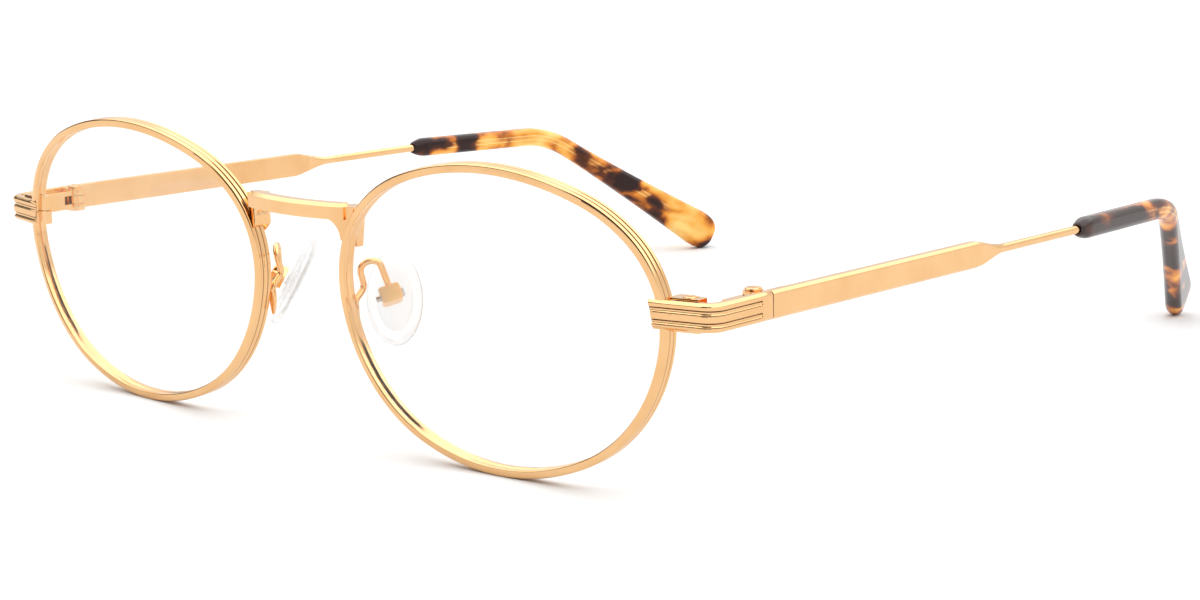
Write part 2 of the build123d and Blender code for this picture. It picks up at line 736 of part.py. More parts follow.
# Pad arm: flat tapered foot on the rim's back, then a wire that swings back, loops over and meets the box
foot_side = -(opening_half_width + rim_wall / 2)
foot_top = rim_point(foot_side, foot_low, rim_depth)
foot_end = rim_point(foot_side, foot_low - foot_length, rim_depth)
foot_way = (foot_end - foot_top).normalized()
arm_root = foot_top + lens_back * arm_diameter / 2
arm_swing = arm_root + Vector(0, arm_back, arm_back_rise)
loop_front = arm_root + Vector(0, arm_loop_back, arm_loop_rise)
loop_way = Vector(box_centre.X - arm_root.X, box_centre.Y - arm_root.Y, 0).normalized()
loop_rear = loop_front + loop_way * arm_loop_width
arm_in = box_centre - pad_down * (box_height / 4)
with BuildPart() as pad_arm:
    with BuildLine() as arm:
        FilletPolyline(
            arm_root + foot_way * foot_length * foot_taper_share,
            arm_root,
            arm_swing,
            loop_front,
            loop_rear,
            arm_in,
            radius=(foot_bend_radius, foot_bend_radius, arm_loop_radius, arm_end_radius),
        )
    with BuildSketch(Plane(arm.line @ 0, z_dir=arm.line % 0)):
        Circle(arm_diameter / 2)
    sweep(path=arm.line)
    foot_plane = Plane(foot_top, x_dir=lens_across, z_dir=foot_way)
    with BuildSketch(foot_plane):
        Rectangle(foot_width, 2 * foot_thickness)
    with BuildSketch(foot_plane.offset(foot_length)):
        Rectangle(foot_width * foot_taper_share, 2 * foot_thickness * foot_taper_share)
    loft(ruled=True)
    add(rim_envelope, mode=Mode.SUBTRACT)
    add(box_blank.part, mode=Mode.SUBTRACT)
save_pair(pad_arm, "pad_arm")

print("lens opening", 2 * opening_half_width, opening_rise + opening_drop, "side radius", side_radius)
print("front", front_y, "back", round_offset.Y + front_y, "hinge axis", axis_x, axis_y, "joint", joint_y)
print("strip", strip_bottom, strip_top, "split", split_up, "lens centre up", lens_centre_up)
print("pad screw", box_centre, "way", screw_way, "rim side", rim_side, "drop", drop_length)
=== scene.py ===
# %% [markdown]
# # Oval eyeglasses in polished gold
# The construction comes ready made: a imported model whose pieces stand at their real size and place.
# This lesson gives each piece its looks. Slim metal lives from its edges and reflections, so the
# pieces that show most are modelled again with softened edges, and the studio round them is built as
# carefully.

# %% Load the fixed frame
import bmesh
import bpy
import math
from mathutils import Matrix, Vector


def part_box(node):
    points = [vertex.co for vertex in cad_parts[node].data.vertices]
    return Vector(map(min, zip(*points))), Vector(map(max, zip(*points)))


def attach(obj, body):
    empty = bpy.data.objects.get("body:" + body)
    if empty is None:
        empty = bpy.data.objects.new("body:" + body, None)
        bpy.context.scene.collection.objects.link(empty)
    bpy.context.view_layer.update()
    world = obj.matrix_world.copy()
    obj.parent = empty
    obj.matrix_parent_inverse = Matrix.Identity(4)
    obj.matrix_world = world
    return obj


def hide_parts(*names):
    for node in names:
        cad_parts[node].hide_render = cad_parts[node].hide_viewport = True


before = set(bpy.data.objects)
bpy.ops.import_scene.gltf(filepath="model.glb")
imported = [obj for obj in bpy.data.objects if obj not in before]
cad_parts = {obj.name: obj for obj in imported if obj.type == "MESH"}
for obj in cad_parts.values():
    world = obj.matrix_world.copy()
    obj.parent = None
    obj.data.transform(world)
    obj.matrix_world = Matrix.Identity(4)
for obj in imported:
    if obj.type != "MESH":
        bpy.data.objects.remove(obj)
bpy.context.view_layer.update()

# %% [markdown]
# ## Sizes
# The rims, temples and tips follow the same few sizes as the construction. They are repeated here in
# metres, and places are worked out from them and from the frame, so nothing has to be fitted by eye.

# %% Sizes of the lens opening, an oval of tangent arcs
opening_half_width = 0.0264
opening_rise = 0.02115
opening_drop = 0.01715
side_centre_height = 0.00402
crown_flatness = 0.2654
brow_start = math.radians(46.97)
crown_start = math.radians(69.08)
cheek_start = math.radians(9.73)
bottom_start = math.radians(66.40)

# %% Sizes of the rim wire and the lens
lens_centre_distance = 0.071
base_curve_radius = 0.1321
wrap_angle = math.radians(3.37)
forward_tilt = math.radians(3.82)
rim_wall = 0.00112
rim_depth = 0.00204
reed_width = 0.00024
reed_depth = 0.00022
reed_land = 0.00052
lens_thickness = 0.0016
lens_setback = 0.00022
lens_edge_gap = 0.00003
bevel_height = 0.00045
bevel_width = 0.0006
split_height = 0.023979
split_gap = 0.00012
bridge_proud = 0.0008
millimetres = 1000

# %% Where the rims stand
front_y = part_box("bridge")[0].y + bridge_proud


def sagitta(reach):
    """How far the base curve has fallen back at a distance from its vertex"""
    return base_curve_radius - math.sqrt(base_curve_radius**2 - reach**2)


def stood(place, side_way, up_way, out_way):
    """Matrix that stands a drawing at a place, with its X, Y and Z along three directions"""
    return Matrix.Translation(place) @ Matrix((side_way, up_way, out_way)).transposed().to_4x4()


foot_reach = opening_drop + rim_wall
tilt_cos, tilt_sin = math.cos(forward_tilt), math.sin(forward_tilt)
wrap_cos, wrap_sin = math.cos(wrap_angle), math.sin(wrap_angle)
lens_centre_up = foot_reach * tilt_cos - sagitta(foot_reach) * wrap_cos * tilt_sin
lens_side_way = Vector((wrap_cos, wrap_sin * tilt_cos, wrap_sin * tilt_sin))
lens_up_way = Vector((0, -tilt_sin, tilt_cos))
lens_front_way = lens_side_way.cross(lens_up_way)
lens_centre = (lens_centre_distance / 2, front_y, lens_centre_up)
lens_matrix = stood(lens_centre, lens_side_way, lens_up_way, lens_front_way)
print("the lens centre stands at", [round(value, 5) for value in lens_matrix.translation])

# %% [markdown]
# ## Pieces
# Every piece is built in a bmesh and written to a mesh whose object stays at the origin. The right
# piece is the left one mirrored, with its faces turned round again so that they point outwards.

# %% Writing a finished shape as a piece
smooth_limit = math.radians(40)


def write_piece(shape, name, body, material, nodes):
    """Makes an object of a finished shape, which rides on a body and stands for CAD nodes"""
    mesh = bpy.data.meshes.new(name)
    shape.to_mesh(mesh)
    mesh.shade_smooth()
    mesh.set_sharp_from_angle(angle=smooth_limit)
    piece = bpy.data.objects.new(name, mesh)
    bpy.context.scene.collection.objects.link(piece)
    piece.data.materials.append(material)
    normals = piece.modifiers.new("even_normals", "WEIGHTED_NORMAL")
    normals.keep_sharp = True
    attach(piece, body)
    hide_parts(*nodes)


def write_pair(shape, name, bodies, slot, *materials):
    """Writes the left piece and its mirror image, each in the place of its CAD node"""
    for side, body, material in zip(("left", "right"), bodies, (materials[0], materials[-1])):
        node = name + "_" + side
        write_piece(shape, node + "_finished", body, material, [node])
        bmesh.ops.scale(shape, vec=(-1, 1, 1), verts=shape.verts)
        bmesh.ops.reverse_faces(shape, faces=shape.faces)
    shape.free()


front_bodies = ("front", "front")
temple_bodies = ("temple_left_arm", "temple_right_arm")
pad_bodies = ("pad_left", "pad_right")


# %% Rounding corners and edges
def round_off(shape, parts, kind, size, steps):
    """Bevels chosen corners or edges with a round profile"""
    bmesh.ops.bevel(
        shape, geom=parts, affect=kind, offset=size, offset_type="OFFSET", segments=steps, profile=0.5,
        material=-1, clamp_overlap=True,
    )


# %% [markdown]
# ## Recipes for materials
# A material is a tree of nodes, and the same few kinds come back in all of them: noises, ramps, sums
# and mixes. Each helper adds one node, fills its sockets with numbers or with links from other nodes,
# and gives its result. A finish then reads from top to bottom like a recipe.

# %% Adding nodes to a material or to the world
def fill_sockets(tree, node, sockets):
    """Gives each socket its number, or a link where the value is another node's output"""
    for socket, value in sockets.items():
        if isinstance(value, bpy.types.NodeSocket):
            tree.links.new(value, node.inputs[socket])
        else:
            node.inputs[socket].default_value = value


def add_node(tree, kind, sockets, **fields):
    """Adds a node, sets its fields and fills its sockets"""
    node = tree.nodes.new("ShaderNode" + kind)
    for field, value in fields.items():
        setattr(node, field, value)
    fill_sockets(tree, node, sockets)
    return node


def start_material(name):
    """Makes a material and gives it with its tree and its shader"""
    made = bpy.data.materials.new(name)
    made.use_nodes = True
    return made, made.node_tree, made.node_tree.nodes["Principled BSDF"]


def calculate(tree, operation, *numbers):
    """Works a number out of others"""
    return add_node(tree, "Math", dict(enumerate(numbers)), operation=operation).outputs["Value"]


def mix_colours(tree, share, first, second, blend="MIX"):
    """Mixes two colours by a share"""
    sockets = {"Factor": share, "A": first, "B": second}
    return add_node(tree, "Mix", sockets, data_type="RGBA", blend_type=blend).outputs["Result"]


def colour_ramp(tree, value, stops, interpolation="LINEAR"):
    """Turns a number into a colour or a grey, through stops of a position and a colour or grey"""
    node = add_node(tree, "ValToRGB", {"Fac": value})
    ramp = node.color_ramp
    ramp.interpolation = interpolation
    while len(ramp.elements) < len(stops):
        ramp.elements.new(0.5)
    for element, (position, shown) in zip(ramp.elements, stops):
        element.position = position
        element.color = shown if isinstance(shown, tuple) else (shown, shown, shown, 1)
    return node.outputs["Color"]


def object_place(tree):
    """The place of each point in the object's own space"""
    return add_node(tree, "TexCoord", {}).outputs["Object"]


def noise(tree, place, scale, detail=2.0, distortion=0.0):
    """A cloudy number at each place"""
    sockets = {"Vector": place, "Scale": scale, "Detail": detail, "Distortion": distortion}
    return add_node(tree, "TexNoise", sockets).outputs["Fac"]


def spread(tree, value, low, high):
    """Turns a number from 0 to 1 into one between two others"""
    return add_node(tree, "MapRange", {"Value": value, "To Min": low, "To Max": high}).outputs["Result"]


def kept_number(tree, name):
    """Reads a number that the mesh keeps at each point"""
    return add_node(tree, "Attribute", {}, attribute_name=name).outputs["Fac"]

# %% [markdown]
# ## Gold
# The frame is gold plated and polished, a warm peach gold that turns cream where it meets a bright
# light. One metallic shader does it. Fine noise moves the colour and the roughness a little, and a
# bump far smaller than a millimetre keeps long reflections from looking drawn with a ruler. Two
# numbers kept in the meshes change it: one paints shade into the bottoms of grooves, turning the
# gold dark brown there, and the satin number dulls the temples' insides.

# %% Gold material
gold_colour = (0.95, 0.59, 0.29, 1)
gold_shade = (0.90, 0.53, 0.245, 1)
# Dark brown painted into the bottoms of grooves as shade
gold_cavity = (0.11, 0.040, 0.014, 1)
steel_colour = (0.62, 0.60, 0.60, 1)
steel_shade = (0.48, 0.46, 0.46, 1)
steel_cavity = (0.10, 0.09, 0.09, 1)
mirror_polish = (0.04, 0.11)
screw_polish = (0.10, 0.22)
steel_polish = (0.12, 0.25)
satin_roughness = 0.34
cloud_scale = 160
cloud_detail = 3
shade_end = 0.3
bright_start = 0.6
grain_scale = 5200
grain_height = 0.000004
grain_strength = 0.35


def polished_metal(name, bright, shade, cavity_colour, polish):
    """Metal whose colour and roughness drift slightly over the surface, with a fine polishing grain"""
    made, tree, shader = start_material(name)
    place = object_place(tree)
    cloud = noise(tree, place, cloud_scale, cloud_detail)
    grain = noise(tree, place, grain_scale)
    tone = colour_ramp(tree, cloud, ((shade_end, shade), (bright_start, bright)))
    bump = add_node(tree, "Bump", {"Height": grain, "Distance": grain_height, "Strength": grain_strength})
    satin = kept_number(tree, "satin")
    # Where the mesh keeps painted shade, in the bottoms of grooves, the colour turns to the painted shade
    # colour
    recipe = {
        "Base Color": mix_colours(tree, kept_number(tree, "cavity"), tone, cavity_colour),
        "Roughness": calculate(tree, "MULTIPLY_ADD", satin, satin_roughness, spread(tree, grain, *polish)),
        "Normal": bump.outputs["Normal"],
        "Metallic": 1.0,
    }
    fill_sockets(tree, shader, recipe)
    return made


gold = polished_metal("polished_gold", gold_colour, gold_shade, gold_cavity, mirror_polish)
gold_screw = polished_metal("gold_of_the_screws", gold_colour, gold_shade, gold_cavity, screw_polish)
steel = polished_metal("steel_of_the_pad_screws", steel_colour, steel_shade, steel_cavity, steel_polish)

# %% [markdown]
# ## Clear lens and clear pads
# The lenses are clear plastic between two equal curves, so what stands behind them isn't shifted.
# Most of the light goes straight through, and only a soft gloss tells that they are there. The pads
# are soft clear plastic with a little haze, which shows as pale grey at their rounded edges.

# %% Clear materials
lens_colour = (0.985, 0.992, 0.99, 1)
lens_refraction = 1.5
lens_alpha = 0.06
lens_polish = (0.0, 0.02)
pad_colour = (0.96, 0.965, 0.97, 1)
pad_refraction = 1.42
pad_alpha = 0.44
pad_polish = (0.02, 0.12)
haze_scale = 900


def clear_plastic(name, colour, refraction, alpha, polish):
    """Clear plastic with a faint unevenness in its polish"""
    made, tree, shader = start_material(name)
    haze = noise(tree, object_place(tree), haze_scale)
    recipe = {
        "Base Color": colour,
        "Roughness": spread(tree, haze, *polish),
        "Transmission Weight": 1.0,
        "IOR": refraction,
        "Alpha": alpha,
    }
    fill_sockets(tree, shader, recipe)
    return made


lens_plastic = clear_plastic("clear_lens_plastic", lens_colour, lens_refraction, lens_alpha, lens_polish)
pad_plastic = clear_plastic("clear_pad_plastic", pad_colour, pad_refraction, pad_alpha, pad_polish)

# %% [markdown]
# ## Tortoise acetate
# The tips are cut from acetate sheet in which dark brown and honey coloured pieces are pressed
# together. The patches run into each other with soft brown edges. Two noises of different size make
# the patches, and a number kept in the mesh, which counts along the tip, says where the sheet is
# dark. Where it is light the core wire shows through, and its highlights are painted as two bright
# lines, drawn by a second number, the height off the core.

# %% Tortoise material
tone_stops = (
    (0.20, (0.026, 0.010, 0.008, 1)),
    (0.36, (0.12, 0.030, 0.010, 1)),
    (0.50, (0.58, 0.165, 0.018, 1)),
    (0.68, (0.93, 0.41, 0.065, 1)),
    (0.95, (1.0, 0.64, 0.20, 1)),
)
far_stops = (
    (0.0, 0.10), (0.035, 0.14), (0.06, 0.60), (0.125, 0.60), (0.145, 0.16), (0.185, 0.18), (0.21, 0.60),
    (0.31, 0.70), (0.42, 0.66), (0.47, 0.50), (0.54, 0.52), (0.60, 0.54), (0.665, 0.26), (0.70, 0.30),
    (0.75, 0.58), (0.83, 0.52), (0.91, 0.62), (0.965, 0.56), (1.0, 0.34),
)
near_stops = (
    (0.0, 0.12), (0.05, 0.30), (0.09, 0.36), (0.13, 0.28), (0.20, 0.28), (0.25, 0.36), (0.29, 0.28),
    (0.34, 0.30), (0.40, 0.30), (0.46, 0.34), (0.54, 0.30), (0.62, 0.22), (0.70, 0.18), (0.80, 0.18),
    (0.88, 0.22), (0.95, 0.34), (1.0, 0.30),
)
near_place, far_place = (0.0, 0.0, 0.0), (0.3, 0.1, 0.2)
near_gloss, far_gloss = 0.35, 0.18
sheet_stretch = (1.0, 0.6, 1.0)
patch_scale = 210
patch_detail = 1.5
patch_distortion = 0.6
patch_weight = 1.8
speck_scale = 520
speck_weight = 0.5
core_highlight_colour = (1.0, 0.74, 0.30, 1)
core_highlight_stops = ((0.0, 0.0), (0.26, 0.0), (0.33, 0.8), (0.39, 0.1), (0.61, 0.1), (0.67, 0.8), (0.74, 0.0))
core_stop = 0.83
core_fade_stops = ((core_stop, 1.0), (core_stop + 0.02, 0.0))
core_seen_stops = ((0.36, 0.0), (0.52, 1.0))
acetate_roughness = 0.12
coat_roughness = 0.03


def tortoise_acetate(name, pattern_place, stops, gloss):
    """Honey and dark brown patches with soft edges; stops give how light the sheet is along the tip"""
    made, tree, shader = start_material(name)
    moves = {"Vector": object_place(tree), "Location": pattern_place, "Scale": sheet_stretch}
    place = add_node(tree, "Mapping", moves).outputs["Vector"]

    def weighted(value, weight):
        """How far a noise lies above or below its middle, times a weight"""
        return calculate(tree, "MULTIPLY", calculate(tree, "SUBTRACT", value, 0.5), weight)

    patches = weighted(noise(tree, place, patch_scale, patch_detail, patch_distortion), patch_weight)
    specks = weighted(noise(tree, place, speck_scale), speck_weight)
    along = kept_number(tree, "along")
    sheet = colour_ramp(tree, along, stops)
    level = calculate(tree, "ADD", calculate(tree, "ADD", patches, specks), sheet)
    # The core wire showing through the light sheet, with its highlights painted as two bright lines
    line_place = calculate(tree, "ADD", calculate(tree, "MULTIPLY", kept_number(tree, "off_core"), 0.5), 0.5)
    line = colour_ramp(tree, line_place, core_highlight_stops)
    inside = colour_ramp(tree, along, core_fade_stops)
    seen = colour_ramp(tree, level, core_seen_stops)
    core_highlight = calculate(tree, "MULTIPLY", calculate(tree, "MULTIPLY", line, inside), seen)
    recipe = {
        "Base Color": mix_colours(tree, core_highlight, colour_ramp(tree, level, tone_stops), core_highlight_colour),
        "Roughness": acetate_roughness,
        "Specular IOR Level": gloss,
        "Coat Weight": gloss,
        "Coat Roughness": coat_roughness,
    }
    fill_sockets(tree, shader, recipe)
    return made


tortoise = (
    tortoise_acetate("tortoise_acetate_left", near_place, near_stops, near_gloss),
    tortoise_acetate("tortoise_acetate_right", far_place, far_stops, far_gloss),
)

# %% [markdown]
# ## Rims
# A rim is flat wire rolled into an oval, with two reeds pressed into its outer side and a groove for
# the lens inside. Its section is drawn once as a face, its corners are rounded, and the face is spun
# round the centre of each arc in turn. The finished ring is then bent back along the base curve of
# the lens.

# %% Arcs of the oval
crown_height = opening_rise - side_centre_height
bottom_height = opening_drop + side_centre_height
side_radius = (crown_height - crown_flatness * opening_half_width) / (1 - crown_flatness)
side_centre = Vector((opening_half_width - side_radius, side_centre_height, 0))


def arc_steps(height, start, end):
    """Growth of radius from the side arc to the shoulder and from there to the crown or bottom arc"""
    across, along = opening_half_width - side_radius, height - side_radius
    start_rest, end_rest = 1 - math.sin(start), 1 - math.sin(end)
    scale = math.cos(start) * end_rest - math.cos(end) * start_rest
    first = (across * end_rest - along * math.cos(end)) / scale
    return first, (along * math.cos(start) - across * start_rest) / scale


def ray(angle):
    """Unit vector at an angle in the lens plane"""
    return Vector((math.cos(angle), math.sin(angle), 0))


def quarter_centres(sign, height, start, end):
    """Centres and inner radii of the shoulder arc and of the crown or bottom arc"""
    first, second = arc_steps(height, start, end)
    shoulder = side_centre - ray(sign * start) * first
    middle = shoulder - ray(sign * end) * second
    return (shoulder, side_radius + first), (middle, side_radius + first + second)


upper = quarter_centres(1, crown_height, brow_start, crown_start)
lower = quarter_centres(-1, bottom_height, cheek_start, bottom_start)


def mirror_arc(arc):
    """The same arc on the other side of the lens centre"""
    centre, radius = arc
    return Vector((-centre.x, centre.y, 0)), radius


side_arc = (side_centre, side_radius)
half_turn = math.pi
arcs = [
    (side_arc, brow_start),
    (upper[0], crown_start),
    (upper[1], half_turn - crown_start),
    (mirror_arc(upper[0]), half_turn - brow_start),
    (mirror_arc(side_arc), half_turn + cheek_start),
    (mirror_arc(lower[0]), half_turn + bottom_start),
    (lower[1], 2 * half_turn - bottom_start),
    (lower[0], 2 * half_turn - cheek_start),
    (side_arc, 2 * half_turn + brow_start),
]
print("arc radii in mm", [round(radius * millimetres, 2) for (centre, radius), angle_end in arcs[:4]])

# %% Section of the rim, spun round the arcs
spin_step = math.radians(1.5)
rim_corner = 0.00022
groove_corner = 0.00005
groove_clearance = 0.00003
cavity_gain = 1.4
bevel_front = lens_setback + (lens_thickness - bevel_width) / 2
groove_front = bevel_front - groove_clearance
groove_back = bevel_front + bevel_width + groove_clearance


def rim_section(outward, start):
    """Section of the rim as a face in a plane through the arc's centre"""
    reed_places = [reed_land + reed * (reed_land + reed_width) for reed in (0, 1)]
    outline = [(0, 0), (rim_wall, 0)]
    for place in reed_places:
        outline.append((rim_wall, place))
        outline.append((rim_wall - reed_depth, place + reed_width / 2))
        outline.append((rim_wall, place + reed_width))
    outline += [(rim_wall, rim_depth), (0, rim_depth)]
    outline += [(0, groove_back), (bevel_height, (groove_front + groove_back) / 2), (0, groove_front)]
    shape = bmesh.new()
    corners = [shape.verts.new(start + outward * wide - Vector((0, 0, deep))) for wide, deep in outline]
    shape.faces.new(corners)
    square = [corners[0], corners[1], corners[-4], corners[-5]]
    fine = [corner for corner in corners if corner not in square]
    round_off(shape, square, "VERTICES", rim_corner, 4)
    round_off(shape, fine, "VERTICES", groove_corner, 2)
    # Paints shade into the reeds: the deeper a point lies in a reed, the darker it is painted
    cavity = shape.verts.layers.float.new("cavity")
    for corner in shape.verts:
        stands_out = (corner.co - start).dot(outward)
        if stands_out > rim_wall / 2 and reed_land / 2 < -corner.co.z < rim_depth - reed_land / 2:
            sunk = max(0, rim_wall - stands_out - groove_corner / 2)
            corner[cavity] = min(1, sunk / reed_depth * cavity_gain)
    return shape


split_angle = math.asin((split_height - lens_centre_up - side_centre_height) / (side_radius + rim_wall / 2))
gap_angle = split_gap / (side_radius + rim_wall / 2)
outward = ray(split_angle + gap_angle / 2)
rim = rim_section(outward, side_centre + outward * side_radius)
angle_now = split_angle + gap_angle / 2
last = rim.faces[:] + rim.edges[:] + rim.verts[:]
for (centre, radius), angle_end in arcs:
    angle_end = min(angle_end, 2 * half_turn + split_angle - gap_angle / 2)
    turn = angle_end - angle_now
    steps = max(1, round(turn / spin_step))
    spun = bmesh.ops.spin(
        rim, geom=last, cent=centre, axis=(0, 0, 1), angle=turn, steps=steps, use_merge=False
    )
    last = spun["geom_last"]
    angle_now = angle_end
bmesh.ops.holes_fill(rim, edges=[edge for edge in rim.edges if edge.is_boundary], sides=0)


def bend_and_place(shape):
    """Bends a flat shape back along the base curve and stands it where the left lens is"""
    for vertex in shape.verts:
        vertex.co.z -= sagitta(math.hypot(vertex.co.x, vertex.co.y))
    shape.transform(lens_matrix)
    bmesh.ops.recalc_face_normals(shape, faces=shape.faces)


bend_and_place(rim)
print("a rim has", len(rim.faces), "faces")
write_pair(rim, "rim", front_bodies, "gold_polished", gold)

# %% [markdown]
# ## Lenses
# The lens is a slab with the same oval outline and a tongue round its edge that sits in the rim's
# groove. Its outline starts as a circle: a point of the oval is fixed by the direction in which its
# edge faces, so each point of the circle moves to the place on the arcs that faces the same way.

# %% Outline of the lens, extruded to both faces
outline_steps = 240
face_shares = (0.97, 0.86, 0.70, 0.50, 0.28, 0.10)
same_place = 1e-9


def oval_place(angle, grow):
    """Point of the oval whose edge faces in a direction, with the oval grown by an amount"""
    for (centre, radius), angle_end in arcs:
        if angle <= angle_end:
            return centre + ray(angle) * (radius + grow)


def extrude_loop(shape, loop):
    """Extrudes a loop of edges and gives the new edges"""
    made = bmesh.ops.extrude_edge_only(shape, edges=loop)["geom"]
    return [part for part in made if isinstance(part, bmesh.types.BMEdge) and len(part.link_faces) == 1]


def loop_vertices(loop):
    """The vertices of a loop of edges"""
    return {vertex for edge in loop for vertex in edge.verts}


lens = bmesh.new()
bmesh.ops.create_circle(lens, cap_ends=False, radius=1, segments=outline_steps)
angle_of = {vertex: math.atan2(vertex.co.y, vertex.co.x) % (2 * half_turn) for vertex in lens.verts}


def place_loop(loop, grow, deep, share=1):
    """Moves a loop of vertices to the oval, grown, set back and drawn in"""
    for vertex in loop_vertices(loop):
        spot = oval_place(angle_of[vertex], grow) * share
        vertex.co = (spot.x, spot.y, -deep)


def keep_angles(loop):
    """Hands each new vertex the angle of the one it was extruded from, which is in the same place"""
    for vertex in loop_vertices(loop):
        for other in [edge.other_vert(vertex) for edge in vertex.link_edges]:
            if other in angle_of and vertex not in angle_of and (other.co - vertex.co).length < same_place:
                angle_of[vertex] = angle_of[other]


lens_rings = [(-lens_edge_gap, lens_setback), (-lens_edge_gap, bevel_front), (bevel_height, bevel_front)]
lens_rings += [(bevel_height, bevel_front + bevel_width), (-lens_edge_gap, bevel_front + bevel_width)]
lens_rings += [(-lens_edge_gap, lens_setback + lens_thickness)]
first_loop = lens.edges[:]
place_loop(first_loop, *lens_rings[0])
edge_loop = first_loop
for grow, deep in lens_rings[1:]:
    edge_loop = extrude_loop(lens, edge_loop)
    keep_angles(edge_loop)
    place_loop(edge_loop, grow, deep)
for face_loop, deep in ((first_loop, lens_setback), (edge_loop, lens_setback + lens_thickness)):
    for share in face_shares:
        face_loop = extrude_loop(lens, face_loop)
        keep_angles(face_loop)
        place_loop(face_loop, -lens_edge_gap, deep, share)
    bmesh.ops.contextual_create(lens, geom=face_loop)
bend_and_place(lens)
print("a lens has", len(lens.faces), "faces")
write_pair(lens, "lens", front_bodies, "clear_lens", lens_plastic)

# %% [markdown]
# ## Swept pieces
# The end pieces, the temples, the tips and the pad arms are each one section carried along a line. A
# section's corners are rounded while it is still flat, then its face is extruded from station to
# station and each new ring is put in its place. A number at each point, kept as an attribute, lets a
# material follow the piece. The round profile says how far back and how far in the rings of a
# softened end stand, as shares of its rounding.

# %% Rounding a flat outline and carrying it along a line
short_edge = 0.0005
round_profile = ((0.0, 1.0), (0.3, 0.3), (1.0, 0.0))


def rounded_outline(corners, rounds, cuts=0):
    """Points of a flat outline after its chosen corners are rounded and its edges cut up"""
    flat = bmesh.new()
    spots = [flat.verts.new((across, up, 0)) for across, up in corners]
    flat.faces.new(spots)
    for size, steps, chosen in rounds:
        round_off(flat, [spots[number] for number in chosen], "VERTICES", size, steps)
    if cuts:
        long_edges = [edge for edge in flat.edges if edge.calc_length() > short_edge]
        bmesh.ops.subdivide_edges(flat, edges=long_edges, cuts=cuts)
    outline = [(corner.vert.co.x, corner.vert.co.y) for corner in next(iter(flat.faces)).loops]
    flat.free()
    return outline


def sweep(stations, **marks):
    """Extrudes a face through stations, each a ring of places, and keeps named marks for each place"""
    shape = bmesh.new()
    for name in marks:
        shape.verts.layers.float.new(name)
    face = shape.faces.new([shape.verts.new(spot) for spot in stations[0]])
    for number, spots in enumerate(stations):
        if number:
            made = bmesh.ops.extrude_face_region(shape, geom=[face])["geom"]
            if number > 1:
                bmesh.ops.delete(shape, geom=[face], context="FACES_ONLY")
            face = next(part for part in made if isinstance(part, bmesh.types.BMFace))
        for corner, spot in zip(face.verts, spots):
            corner.co = spot
        for name, rings in marks.items():
            layer = shape.verts.layers.float[name]
            for corner, mark in zip(face.verts, rings[number]):
                corner[layer] = mark
    bmesh.ops.recalc_face_normals(shape, faces=shape.faces)
    return shape


def line_with_bends(corners, radii, bend_steps):
    """Places and directions along a line whose corners are arcs"""
    way = (corners[1] - corners[0]).normalized()
    stations = [(corners[0], way)]
    for corner, after, radius in zip(corners[1:-1], corners[2:], radii):
        next_way = (after - corner).normalized()
        turn = way.angle(next_way)
        inward = way.cross(next_way).normalized().cross(way)
        start = corner - way * radius * math.tan(turn / 2)
        for step in range(bend_steps + 1):
            angle = turn * step / bend_steps
            spot = start + way * radius * math.sin(angle) + inward * radius * (1 - math.cos(angle))
            stations.append((spot, way * math.cos(angle) + inward * math.sin(angle)))
        way = next_way
    stations.append((corners[-1], way))
    return stations


def level_side(way):
    """Level direction to the right of a way, which is outwards on the left temple"""
    return Vector((way.y, -way.x, 0)).normalized()


def ring(place, way, outline):
    """An outline stood square to a way, upright"""
    side = level_side(way)
    up = side.cross(way)
    return [place + side * across + up * rise for across, rise in outline]


def heading(lean, fall):
    """Backwards direction that leans inwards and falls by the given degrees"""
    lean, fall = math.radians(lean), math.radians(fall)
    return Vector((-math.sin(lean) * math.cos(fall), math.cos(lean) * math.cos(fall), -math.sin(fall)))


# %% [markdown]
# ## End pieces
# The end piece is a strip that laps over the rim's front, turns the corner and ends at the hinge. Two
# flutes run along its outer face and end in round bottoms before the joint. Here the section with
# both flutes is carried round the corner, and near the joint the flutes grow shallow and narrow as a
# ball mill would leave them.

# %% Sizes of the end piece
strip_reach = 0.006607
strip_thickness = 0.00125
strip_height = 0.0036
strip_rise = 0.00605
strip_lap = 0.0019
strip_proud = 0.0008
strip_slant = math.radians(12)
strip_bend_radius = 0.0026
strip_bend_steps = 20
strip_chamfer = 0.00036
joint_setback = 0.01625
flute_width = 0.00066
flute_pitch = 0.0015
flute_drop = 0.00014
flute_depth = 0.00024
flute_stop = 0.0023
flute_steps = 8
flute_round = 0.00004
flute_reach = 0.56
flute_least_width = 0.02
# Bands across a flute, in shares of its half width, that are painted with shade
flute_shadow = (0.55, 1.02)
flute_lower_shade = (-1.02, -0.85)
flute_end_shares = (0.0, 0.3, 0.55, 0.75, 0.88, 0.96, 1.0)
lap_shares = (0.30, 0.36, 0.42, 0.48, 0.8)
strip_round = 0.0001
end_round = 0.00009

# %% Section of the strip with its flutes
rim_side_flat = Vector((opening_half_width + rim_wall, side_centre_height, 0))
rim_side = lens_matrix @ (rim_side_flat - Vector((0, 0, sagitta(rim_side_flat.length))))
front_half_width = lens_centre_distance / 2 + (opening_half_width + rim_wall) * wrap_cos + strip_reach
strip_middle = lens_centre_up + strip_rise
joint_y = front_y + joint_setback
flute_radius = (flute_width**2 / 4 + flute_depth**2) / (2 * flute_depth)
stand_off = flute_radius - flute_depth
flute_places = [-flute_drop + share * flute_pitch for share in (-0.5, 0.5)]


def flute_line(middle):
    """Points across one flute, from its lower edge to its upper edge"""
    half_turn_in = math.asin(flute_width / 2 / flute_radius)
    line = []
    for step in range(flute_steps + 1):
        angle = half_turn_in * (2 * step / flute_steps - 1)
        line.append((stand_off - flute_radius * math.cos(angle), middle + flute_radius * math.sin(angle)))
    return line


